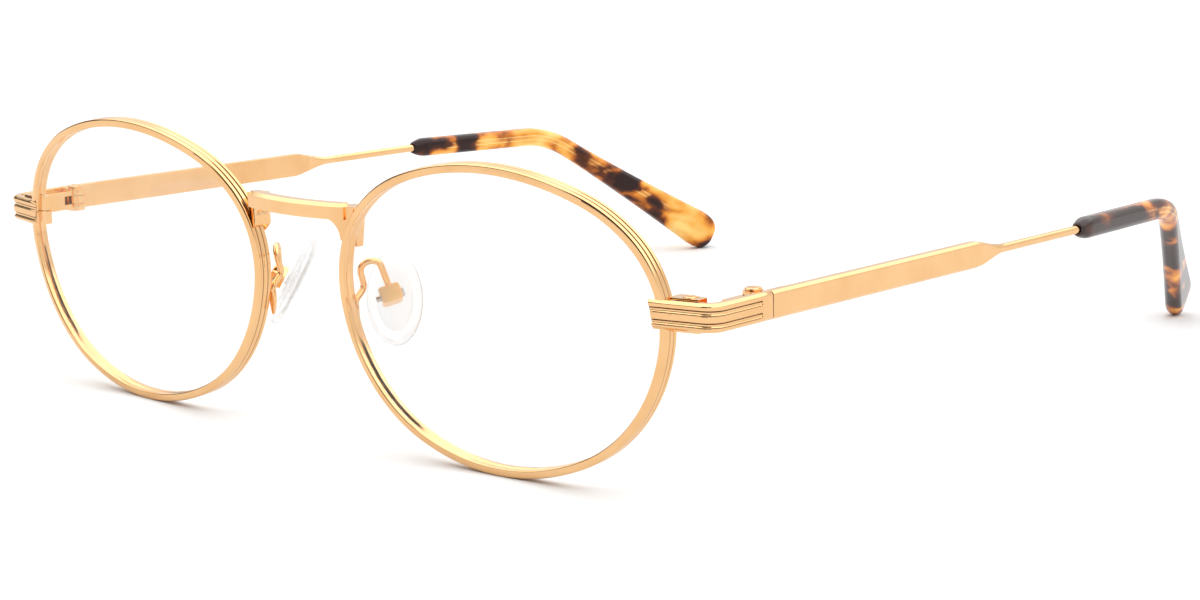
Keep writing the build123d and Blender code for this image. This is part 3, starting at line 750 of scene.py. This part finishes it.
half_height = strip_height / 2
bevel_rise = half_height - strip_chamfer
strip_corners = [(-strip_thickness, -half_height), (-strip_chamfer, -half_height), (0, -bevel_rise)]
strip_corners += flute_line(flute_places[0]) + flute_line(flute_places[1])
strip_corners += [(0, bevel_rise), (-strip_chamfer, half_height), (-strip_thickness, half_height)]
flute_edges = [3, 3 + flute_steps, 4 + flute_steps, 4 + 2 * flute_steps]
strip_edges = [0, 1, 2, 5 + 2 * flute_steps, 6 + 2 * flute_steps, 7 + 2 * flute_steps]
strip_rounds = ((strip_round, 3, strip_edges), (flute_round, 2, flute_edges))
strip_outline = rounded_outline(strip_corners, strip_rounds)
print("the strip's section has", len(strip_outline), "points")


def nearest_flute(rise):
    """Middle of the flute that lies nearest to a height"""
    return min(flute_places, key=lambda middle: abs(middle - rise))


def strip_section(left, inset=0.0):
    """The section with its flutes as they are at a distance past the ball's centre, drawn in by an inset"""
    radius = math.sqrt(max(stand_off**2, flute_radius**2 - max(0, left) ** 2))
    deep = (radius - stand_off) / flute_depth
    wide = math.sqrt(max(0, radius**2 - stand_off**2)) / (flute_width / 2)
    shrink = 1 - inset / half_height
    points = []
    for out, rise in strip_outline:
        near = nearest_flute(rise)
        if out > -strip_chamfer and abs(rise - near) < flute_width * flute_reach:
            out, rise = out * deep, near + (rise - near) * max(wide, flute_least_width)
        points.append((max(out - inset, inset - strip_thickness) if inset else out, rise * shrink))
    return points


# %% Carry the section from the rim's front to the joint
slope = math.tan(strip_slant)
strip_front = Vector((rim_side.x - strip_lap, rim_side.y - strip_proud, strip_middle))
corner_y = strip_front.y + (front_half_width - strip_front.x) * slope
strip_corner = Vector((front_half_width, corner_y, strip_middle))
strip_end = Vector((front_half_width, joint_y, strip_middle))
lens_inverse = lens_matrix.inverted()
outer_radius = side_radius + rim_wall
lap_radius = side_radius + rim_wall - strip_lap


def lap_start(height):
    """How far along X the strip's front end lies at a height: on the rim's own line"""
    rise = (height - lens_centre_up) / math.cos(forward_tilt) - side_centre_height
    flat = Vector((side_centre.x + math.sqrt(lap_radius**2 - rise**2), side_centre_height + rise, 0))
    return (lens_matrix @ (flat - Vector((0, 0, sagitta(flat.length))))).x


def rest_on_rim(spot):
    """Keeps a point of the strip in front of the rim where it laps over it"""
    flat = lens_inverse @ spot
    fall = -sagitta(math.hypot(flat.x, flat.y))
    inside = math.hypot(flat.x - side_centre.x, flat.y - side_centre_height) < outer_radius
    if inside and flat.z < fall:
        flat.z = fall
    return lens_matrix @ flat


strip_line = line_with_bends([strip_front, strip_corner, strip_end], [strip_bend_radius], strip_bend_steps)
front_way = strip_line[0][1]
strip_stations = []
for back_share, in_share in round_profile:
    spots = []
    for spot in ring(strip_front, front_way, strip_section(0, end_round * in_share)):
        spot = spot + front_way * ((lap_start(spot.z) + end_round * back_share - spot.x) / front_way.x)
        spots.append(rest_on_rim(spot))
    strip_stations.append(spots)
run = strip_line[1][0] - strip_front
for share in lap_shares:
    lapped = ring(strip_front + run * share, front_way, strip_section(0))
    strip_stations.append([rest_on_rim(spot) for spot in lapped])
for place, way in strip_line[1:-1]:
    strip_stations.append(ring(place, way, strip_section(0)))
side_way = strip_line[-1][1]
flute_end = strip_end - side_way * flute_stop
for share in flute_end_shares:
    left = share * flute_width / 2
    strip_stations.append(ring(flute_end + side_way * left, side_way, strip_section(left)))
for back_share, in_share in reversed(round_profile):
    outline = strip_section(flute_width, end_round * in_share)
    strip_stations.append(ring(strip_end - side_way * end_round * back_share, side_way, outline))


def flute_painted_shade(rise):
    """Painted shade in a flute: strongest under its upper edge, half as strong along its lower edge"""
    up = (rise - nearest_flute(rise)) / (flute_width / 2)
    if flute_shadow[0] < up < flute_shadow[1]:
        return 1.0
    return 0.5 if flute_lower_shade[0] < up < flute_lower_shade[1] else 0.0


# Painted shade along the flutes; the last stations at the joint get none
flute_marks = [flute_painted_shade(rise) for out, rise in strip_outline]
plain_marks = [0.0] * len(strip_outline)
stop_stations = 6
strip_marks = [flute_marks] * (len(strip_stations) - stop_stations) + [plain_marks] * stop_stations
end_piece = sweep(strip_stations, cavity=strip_marks)
print("an end piece has", len(end_piece.faces), "faces")
write_pair(end_piece, "end_piece", front_bodies, "gold_polished", gold)

# %% [markdown]
# ## Temples
# The temple starts as a flat bar with a bevel along both edges of its outer side. It is then turned
# down to a round wire, so its section shrinks only where it stands out past the growing taper, and
# the wire runs on as the core of the tip. Each ring is the bar's outline, with every point drawn in
# to the taper's radius.

# %% Sizes of the temple
bar_height = 0.0036
bar_thickness = 0.0013
bar_chamfer = 0.00038
bar_round = 0.0001
bar_cuts = 9
bar_gap = 0.00008
bar_length = 0.0424
taper_length = 0.0091
taper_steps = 26
core_radius = 0.0006
bare_wire_length = 0.0184
bar_way = heading(1.8, 0.8)
tip_way = heading(7.1, 2.0)
drop_way = heading(28.0, 33.7)
tip_straight = 0.0292
tip_bend_radius = 0.014
wire_bend_radius = 0.06
wire_bend_steps = 12
tip_thickness = 0.00275
tip_height = 0.00305
tip_end_height = 0.0063
tip_end_length = 0.004
tip_end_power = 1.5
core_end_gap = 0.010

# %% Places on the temple's line
bar_start = Vector((front_half_width - bar_thickness / 2, joint_y + bar_gap, strip_middle))
wire_start = bar_start + bar_way * (bar_length + taper_length)
tip_start = wire_start + bar_way * bare_wire_length
tip_bend = tip_start + tip_way * tip_straight
tip_side = level_side(drop_way)
tip_up = tip_side.cross(drop_way)
end_drop = (tip_end_length * abs(drop_way.z)) ** tip_end_power
end_drop += (tip_end_height / 2 * abs(tip_up.z)) ** tip_end_power
end_half_height = end_drop ** (1 / tip_end_power)
round_start = tip_bend + drop_way * ((tip_bend.z - end_half_height) / -drop_way.z)
core_end = round_start - drop_way * (core_end_gap - tip_end_length)

# %% Carry the bar's section back and turn it down to the wire
half_thick, half_bar = bar_thickness / 2, bar_height / 2
thick_less, bar_less = half_thick - bar_chamfer, half_bar - bar_chamfer
bar_corners = [(-half_thick, -half_bar), (thick_less, -half_bar), (half_thick, -bar_less)]
bar_corners += [(half_thick, bar_less), (thick_less, half_bar), (-half_thick, half_bar)]
bar_outline = rounded_outline(bar_corners, ((bar_round, 4, range(len(bar_corners))),), cuts=bar_cuts)
corner_reach = math.hypot(bar_height, bar_thickness) / 2 + bar_gap
hair = 0.00001


def drawn_in(limit, inset=0.0):
    """The bar's outline with each point no further from the middle than a limit"""
    points = []
    for across, rise in bar_outline:
        reach = math.hypot(across, rise)
        share = min(1, limit / reach) * (1 - inset / half_bar)
        points.append((across * share, rise * share))
    return points


temple_stations = []
for back_share, in_share in round_profile:
    outline = drawn_in(corner_reach, end_round * in_share)
    temple_stations.append(ring(bar_start + bar_way * end_round * back_share, bar_way, outline))
for number in range(taper_steps + 1):
    share = number / taper_steps
    limit = corner_reach + (core_radius - corner_reach) * share**2 * (3 - 2 * share)
    place = bar_start + bar_way * (bar_length + taper_length * share)
    temple_stations.append(ring(place, bar_way, drawn_in(limit)))
core_corners = [wire_start, tip_start, tip_bend, core_end]
core_line = line_with_bends(core_corners, [wire_bend_radius, tip_bend_radius], wire_bend_steps)
for place, way in core_line[1:]:
    temple_stations.append(ring(place, way, drawn_in(core_radius)))
inside_marks = [1.0 if across < hair - half_thick else 0.0 for across, rise in bar_outline]
wire_marks = [0.0] * len(bar_outline)
inside_stations = len(round_profile) + taper_steps // 2
temple_marks = [inside_marks] * inside_stations + [wire_marks] * (len(temple_stations) - inside_stations)
temple = sweep(temple_stations, satin=temple_marks)
print("a temple has", len(temple.faces), "faces")
write_pair(temple, "temple", temple_bodies, "gold_polished", gold)

# %% [markdown]
# ## Temple tips
# The tip is a sleeve of acetate with softly rounded sides. It is level up to the bend, then widens
# into a paddle with a rounded end, and at its front it closes round the wire. The same ring of points
# serves all the way: a circle whose quarters are pushed apart to the width and height that the sleeve
# has at that place. Behind the bend the sleeve turns a little about its own line, so that its lower
# edge leans towards the head.

# %% Carry the sleeve's section to the paddle's end
nose_length = 0.0026
nose_share = 0.56
corner_share = 0.42
tip_twist = math.radians(15)
tip_bend_steps = 16
hole_ease = 1.05
hole_depths = (0.0006, 0.00006)
lip_length = 0.00015
lip_draw = 0.12
nose_places = (0.0, 0.00005, 0.00015, 0.0003, 0.0006, 0.001, 0.0014, 0.0019, nose_length)
straight_shares = (0.2, 0.35, 0.5, 0.65, 0.8)
drop_shares = (0.12, 0.24, 0.36, 0.48, 0.60, 0.72, 0.84, 0.94, 1.0)
end_shares = (0.12, 0.25, 0.38, 0.50, 0.61, 0.70, 0.78, 0.85, 0.90, 0.94, 0.97, 0.99, 0.998)
end_high_power = 3
end_thick_power = 4
flare_power = 1.5
ring_steps = 48
circle_angles = [2 * math.pi * step / ring_steps for step in range(ring_steps)]
circle = [(math.cos(angle), math.sin(angle)) for angle in circle_angles]
middle_line = 1e-6
bend_turn = tip_way.angle(drop_way)
bend_reach = tip_bend_radius * math.tan(bend_turn / 2)
straight_run = tip_straight - bend_reach
bend_run = tip_bend_radius * bend_turn
drop_run = (round_start - tip_bend).length - bend_reach
tip_length = straight_run + bend_run + drop_run + tip_end_length


def sleeve(thick, high, share=corner_share):
    """A rounded section, drawn from a circle whose quarters are pushed apart"""
    corner = min(share * tip_thickness, thick / 2, high / 2)
    points = []
    for across, rise in circle:
        flat_across = (abs(across) > middle_line) * math.copysign(thick / 2 - corner, across)
        flat_rise = (abs(rise) > middle_line) * math.copysign(high / 2 - corner, rise)
        points.append((flat_across + corner * across, flat_rise + corner * rise))
    return points


def sleeve_at(distance):
    """The section at a distance from the tip's front"""
    flare = max(0, distance - straight_run - bend_run) / drop_run
    nose = 1 - (1 - nose_share) * max(0, 1 - distance / nose_length) ** 2
    high = tip_height + (tip_end_height - tip_height) * flare**flare_power
    return sleeve(tip_thickness * nose, nose * high)


tip_stations, tip_marks, tip_heights = [], [], []


def add_ring(distance, place, way, outline):
    """Adds a ring, turned by its part of the twist, with its place along the tip and heights off the core"""
    drop_share = max(0, distance - straight_run) / (tip_length - straight_run)
    turn = tip_twist * drop_share * (2 - drop_share)
    turn_cos, turn_sin = math.cos(turn), math.sin(turn)
    turned = []
    for across, rise in outline:
        turned.append((across * turn_cos + rise * turn_sin, rise * turn_cos - across * turn_sin))
    tip_stations.append(ring(place, way, turned))
    tip_marks.append([distance / tip_length] * ring_steps)
    tip_heights.append([rise * millimetres for across, rise in outline])


def rounding(share, power):
    """What is left of a width near a rounded end"""
    return (1 - share**power) ** (1 / power)


hole = [(across * core_radius * hole_ease, rise * core_radius * hole_ease) for across, rise in circle]
for depth in hole_depths:
    add_ring(0, tip_start + tip_way * depth, tip_way, hole)
for distance in nose_places:
    lip = 1 - lip_draw * max(0, 1 - distance / lip_length) ** 2
    outline = [(across * lip, rise * lip) for across, rise in sleeve_at(distance)]
    add_ring(distance, tip_start + tip_way * distance, tip_way, outline)
for share in straight_shares:
    distance = share * straight_run
    add_ring(distance, tip_start + tip_way * distance, tip_way, sleeve_at(distance))
tip_line = line_with_bends([tip_start, tip_bend, round_start], [tip_bend_radius], tip_bend_steps)
for number, (place, way) in enumerate(tip_line[1:-1]):
    distance = straight_run + bend_run * number / tip_bend_steps
    add_ring(distance, place, way, sleeve_at(distance))
for share in drop_shares:
    distance = straight_run + bend_run + share * drop_run
    add_ring(distance, round_start - drop_way * drop_run * (1 - share), drop_way, sleeve_at(distance))
for share in end_shares:
    high = tip_end_height * rounding(share, end_high_power)
    outline = sleeve(min(tip_thickness * rounding(share, end_thick_power), high), high)
    distance = straight_run + bend_run + drop_run + share * tip_end_length
    add_ring(distance, round_start + drop_way * tip_end_length * share, drop_way, outline)
temple_tip = sweep(tip_stations, along=tip_marks, off_core=tip_heights)
print("a tip has", len(temple_tip.faces), "faces")
write_pair(temple_tip, "temple_tip", temple_bodies, "tortoise_acetate", *tortoise)

# %% [markdown]
# ## Nose pads
# The pads are soft clear plastic, thick in the middle and round at the edge, moulded over a small
# clear plate whose lug goes into the metal box. A sphere pushed towards a slab gives the pad's
# crowned shape. The plate is a flattened sphere and the lug a softened block inside the same mesh,
# and they show through it as faint lines.

# %% Directions and places of the pad
pad_height, pad_width, pad_thickness = 0.0133, 0.0076, 0.0021
pad_down = Vector((0.397, -0.367, -1)).normalized()
pad_turn_out = math.radians(43)
pad_offset = Vector((0.0021, 0.00905, 0.0009))
box_depth = 0.0020
box_gap = 0.0003
box_back = 0.00053
box_down = 0.00015
pad_level = Vector((math.sin(pad_turn_out), math.cos(pad_turn_out), 0))
pad_back = (pad_level - pad_down * pad_level.dot(pad_down)).normalized()
pad_skin = pad_back.cross(pad_down).normalized()
rim_half_spacing = lens_centre_distance / 2 - opening_half_width - rim_wall
pad_centre = Vector((rim_half_spacing, front_y, lens_centre_up)) + pad_offset
axis_drop = pad_thickness / 2 + box_gap + box_depth / 2
box_centre = pad_centre - pad_skin * axis_drop - pad_back * box_back + pad_down * box_down

# %% Crowned pad, its plate and its lug
slab_power = 2.7
at_pole = 1e-6
plate_size = (0.0048, 0.0092, 0.0005)
plate_sink = 0.0002
lug_size = (0.0020, 0.00124, 0.0015)
lug_sink = 0.0010
lug_back = 0.0005
lug_softness = 0.0002


def pushed(value):
    """A unit sphere's coordinate pushed towards a slab's"""
    return math.copysign(abs(value) ** (2 / slab_power), value)


def stand_in_pad(parts, centre, sizes=(1, 1, 1)):
    """Stands a drawing inside the pad, in the pad's directions and at its own size"""
    place = stood(centre, pad_back, pad_down, pad_skin) @ Matrix.Diagonal((*sizes, 1))
    bmesh.ops.transform(pad, matrix=place, verts=parts)


pad = bmesh.new()
bmesh.ops.create_uvsphere(pad, u_segments=56, v_segments=28, radius=1)
for vertex in pad.verts:
    level_part = math.hypot(vertex.co.x, vertex.co.y)
    wide = pushed(level_part) / level_part if level_part > at_pole else 0
    spot = (vertex.co.x * wide * pad_width / 2, vertex.co.y * wide * pad_height / 2)
    vertex.co = (spot[0], spot[1], pushed(vertex.co.z) * pad_thickness / 2)
stand_in_pad(pad.verts, pad_centre)
plate = bmesh.ops.create_uvsphere(pad, u_segments=40, v_segments=12, radius=0.5)["verts"]
stand_in_pad(plate, pad_centre - pad_skin * plate_sink, plate_size)
lug = bmesh.ops.create_cube(pad, size=1)["verts"]
stand_in_pad(lug, (box_centre + pad_centre - pad_skin * lug_sink - pad_back * lug_back) / 2, lug_size)
lug_edges = list({edge for vertex in lug for edge in vertex.link_edges})
round_off(pad, lug_edges, "EDGES", lug_softness, 3)
bmesh.ops.recalc_face_normals(pad, faces=pad.faces)
print("a pad has", len(pad.faces), "faces")
write_pair(pad, "nose_pad", pad_bodies, "clear_pad", pad_plastic)

# %% [markdown]
# ## Pad arms
# The arm is one wire. Its end is hammered flat where it is brazed to the rim's back, so the section
# is a thin rounded plate there and swells to the full round wire before it swings back, loops over
# and meets the box. The wire turns in space, so each ring takes its side from the ring before it and
# nothing twists.

# %% Line of the arm
arm_diameter = 0.00088
foot_length = 0.0039
foot_low = 0.0011
foot_side = -(opening_half_width + rim_wall / 2)
foot_sink = 0.0001
swing_step = Vector((0, 0.00175, 0.0015))
loop_step = Vector((0, 0.00055, 0.00515))
loop_reach = 0.0029
arm_in_rise = 0.0006
arm_bend_radii = [0.0012, 0.0012, 0.00145, 0.0011]
arm_bend_steps = 9
flat_places = (0.0, 0.03, 0.08, 0.3, 0.55, 0.75, 0.9)
flat_widths = (0.00040, 0.00055, 0.00066, 0.00100, 0.00125, 0.00120, 0.00106)
flat_depths = (0.00012, 0.00020, 0.00028, 0.00042, 0.00052, 0.00060, 0.00072)


def rim_back(height):
    """Place on the rim's back at its nasal side"""
    return lens_matrix @ Vector((foot_side, height, -sagitta(math.hypot(foot_side, height)) - rim_depth))


foot_tip = rim_back(foot_low - foot_length) - lens_front_way * foot_sink
arm_root = rim_back(foot_low) - lens_front_way * arm_diameter / 2
arm_swing = arm_root + swing_step
loop_front = arm_root + loop_step
loop_way = Vector((box_centre.x - arm_root.x, box_centre.y - arm_root.y, 0)).normalized()
loop_rear = loop_front + loop_way * loop_reach
arm_in = box_centre - pad_down * arm_in_rise
arm_corners = [foot_tip, arm_root, arm_swing, loop_front, loop_rear, arm_in]
arm_line = line_with_bends(arm_corners, arm_bend_radii, arm_bend_steps)
arm_way = arm_line[0][1]
arm_run = (arm_line[1][0] - foot_tip).length
arm_stations = [(foot_tip + arm_way * arm_run * share, arm_way) for share in flat_places] + arm_line[1:]
round_sizes = [(arm_diameter, arm_diameter)] * (len(arm_line) - 1)
arm_sizes = list(zip(flat_widths, flat_depths)) + round_sizes

# %% Carry the section along the arm
side = Vector((1, 0, 0))
arm_rings = []
for (place, way), (wide, thin) in zip(arm_stations, arm_sizes):
    side = (side - way * side.dot(way)).normalized()
    up = side.cross(way)
    arm_rings.append([place + side * across + up * rise for across, rise in sleeve(wide, thin)])
pad_arm = sweep(arm_rings)
print("a pad arm has", len(pad_arm.faces), "faces")
write_pair(pad_arm, "pad_arm", front_bodies, "gold_polished", gold)

# %% [markdown]
# ## Small metal pieces
# The bridge, the blocks, the hinge leaves, the boxes and the screws already have their true shapes.
# What they lack is the small rounding that polishing leaves on every edge, and without it metal looks
# like card. So each is copied from the frame, its triangles are merged into clean faces, and its
# sharp edges are bevelled. Only the temples' hinge leaves stay as they are in the frame, because
# three of their edges don't close when bevelled.

# %% Copies with rounded edges
sharp_limit = math.radians(24)
flat_limit = math.radians(0.6)
merge_distance = 0.0000001


def softened(node, width, steps):
    """Copy of a CAD node whose sharp edges are rounded"""
    shape = bmesh.new()
    shape.from_mesh(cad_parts[node].data)
    bmesh.ops.remove_doubles(shape, verts=shape.verts, dist=merge_distance)
    bmesh.ops.dissolve_limit(shape, angle_limit=flat_limit, verts=shape.verts, edges=shape.edges)
    inner = [edge for edge in shape.edges if len(edge.link_faces) == 2]
    sharp = [edge for edge in inner if edge.calc_face_angle() > sharp_limit]
    round_off(shape, sharp, "EDGES", width, steps)
    print(node, "has", len(sharp), "sharp edges and", len(shape.faces), "faces")
    return shape


bridge = softened("bridge", 0.00018, 4)
write_piece(bridge, "bridge_finished", "front", gold, ["bridge"])
bridge.free()
small_pieces = (
    ("closing_block_upper", 0.00014, 3, "gold_polished", gold),
    ("closing_block_lower", 0.00014, 3, "gold_polished", gold),
    ("closing_screw", 0.00004, 2, "gold_screw", gold_screw),
    ("front_hinge_leaf", 0.00010, 3, "gold_polished", gold),
    ("hinge_screw", 0.00005, 2, "gold_screw", gold_screw),
    ("pad_box", 0.00022, 4, "gold_polished", gold),
    ("pad_screw", 0.00005, 2, "steel_screw", steel),
)
for name, width, steps, slot, material in small_pieces:
    write_pair(softened(name + "_left", width, steps), name, front_bodies, slot, material)

# %% Gold on the temples' hinge leaves
for side in ("left", "right"):
    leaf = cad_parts["temple_hinge_leaf_" + side].data
    leaf.materials.clear()
    leaf.materials.append(gold)

# %% [markdown]
# ## Studio
# Polished metal shows its surroundings, so the surroundings are drawn as a world: pale walls, a
# brighter ceiling and a dark gap between them at the front, which gives the gold its thin brown
# lines. A black flag hangs above the camera. The floor is plain and pale, and a little darker where
# the metal reflects it.

# %% Floor
floor_size = 12.0
floor_colour = (0.86, 0.86, 0.86, 1)
floor_reflected = (0.735, 0.735, 0.735, 1)
floor_roughness = 0.9
floor_mesh = bpy.data.meshes.new("floor")
floor_shape = bmesh.new()
bmesh.ops.create_grid(floor_shape, x_segments=1, y_segments=1, size=floor_size / 2)
floor_shape.to_mesh(floor_mesh)
floor_shape.free()
floor = bpy.data.objects.new("floor", floor_mesh)
bpy.context.scene.collection.objects.link(floor)
floor_material, floor_tree, floor_shader = start_material("pale_floor")
in_reflection = add_node(floor_tree, "LightPath", {}).outputs["Is Glossy Ray"]
floor_tone = mix_colours(floor_tree, in_reflection, floor_colour, floor_reflected)
fill_sockets(floor_tree, floor_shader, {"Base Color": floor_tone, "Roughness": floor_roughness})
floor.data.materials.append(floor_material)

# %% Camera at the photograph's angle
view_azimuth = math.radians(42.845)
view_elevation = math.radians(11.396)
view_roll = math.radians(-1.209)
view_distance = 0.425465
view_target = Vector((0.014112, 0.045 + front_y, 0.013512))
focal_length = 90.06
film_width = 36
nearest_seen = 0.01
azimuth_cos, azimuth_sin = math.cos(view_azimuth), math.sin(view_azimuth)
elevation_cos, elevation_sin = math.cos(view_elevation), math.sin(view_elevation)
back = Vector((azimuth_sin * elevation_cos, -azimuth_cos * elevation_cos, elevation_sin))
level = Vector((azimuth_cos, azimuth_sin, 0))
upright = back.cross(level)
across = level * math.cos(view_roll) + upright * math.sin(view_roll)
camera = bpy.data.objects.new("camera", bpy.data.cameras.new("camera"))
bpy.context.scene.collection.objects.link(camera)
camera.data.lens = focal_length
camera.data.sensor_width = film_width
camera.data.clip_start = nearest_seen
camera.matrix_world = stood(view_target + back * view_distance, across, back.cross(across), back)
bpy.context.scene.camera = camera

# %% World with bright walls and dark gaps
world = bpy.data.worlds.new("studio")
bpy.context.scene.world = world
world.use_nodes = True
sky = world.node_tree


def share_between(value, low, high):
    """How far a number has come from one limit to another"""
    limits = {"Value": value, "From Min": low, "From Max": high}
    return add_node(sky, "MapRange", limits).outputs["Result"]


def turn_position(degrees):
    """Place of an azimuth on a ramp, with 0 at the front and 90 at the wearer's left"""
    return (degrees + 180) / 360


def round_about(*stops):
    """Greys round the horizon, through stops of degrees and brightness"""
    return colour_ramp(sky, turn_share, [(turn_position(degrees), grey) for degrees, grey in stops], "EASE")


def upwards(*stops):
    """Greys from straight down to straight up, through stops of height and brightness"""
    return colour_ramp(sky, height_share, stops, "EASE")


direction = add_node(sky, "TexCoord", {}).outputs["Generated"]
parts = add_node(sky, "SeparateXYZ", {"Vector": direction}).outputs
azimuth = calculate(sky, "ARCTAN2", parts["X"], calculate(sky, "MULTIPLY", parts["Y"], -1))
turn_share = share_between(azimuth, -math.pi, math.pi)
height_share = share_between(parts["Z"], -1, 1)
walls = round_about((-180, 0.85), (-60, 0.95), (180, 0.90))
gap = upwards((0.0, 1.0), (0.52, 1.0), (0.535, 0.06), (0.68, 0.06), (0.72, 1.0))
gap_side = round_about((-108, 0.0), (-96, 1.0), (20, 1.0), (30, 0.0))
overhead = upwards((0.0, 0.0), (0.70, 0.0), (0.78, 1.0), (1.0, 1.0))
flag_side = round_about((-22, 0.0), (-14, 1.0), (45, 1.0), (50, 0.0))
flag_height = upwards((0.64, 0.0), (0.67, 1.0), (0.90, 1.0), (0.94, 0.0))
ceiling_colour = (1.85, 1.85, 1.85, 1)
flag_colour = (0.03, 0.025, 0.02, 1)
white = (1, 1, 1, 1)
sides = mix_colours(sky, gap_side, walls, gap, "MULTIPLY")
whole = mix_colours(sky, overhead, sides, ceiling_colour)
flagged = mix_colours(sky, calculate(sky, "MULTIPLY", flag_side, flag_height), whole, flag_colour)
seen_directly = add_node(sky, "LightPath", {}).outputs["Is Camera Ray"]
shown_sky = mix_colours(sky, seen_directly, flagged, white)
fill_sockets(sky, sky.nodes["Background"], {"Color": shown_sky})
bpy.context.scene.view_settings.view_transform = "Standard"
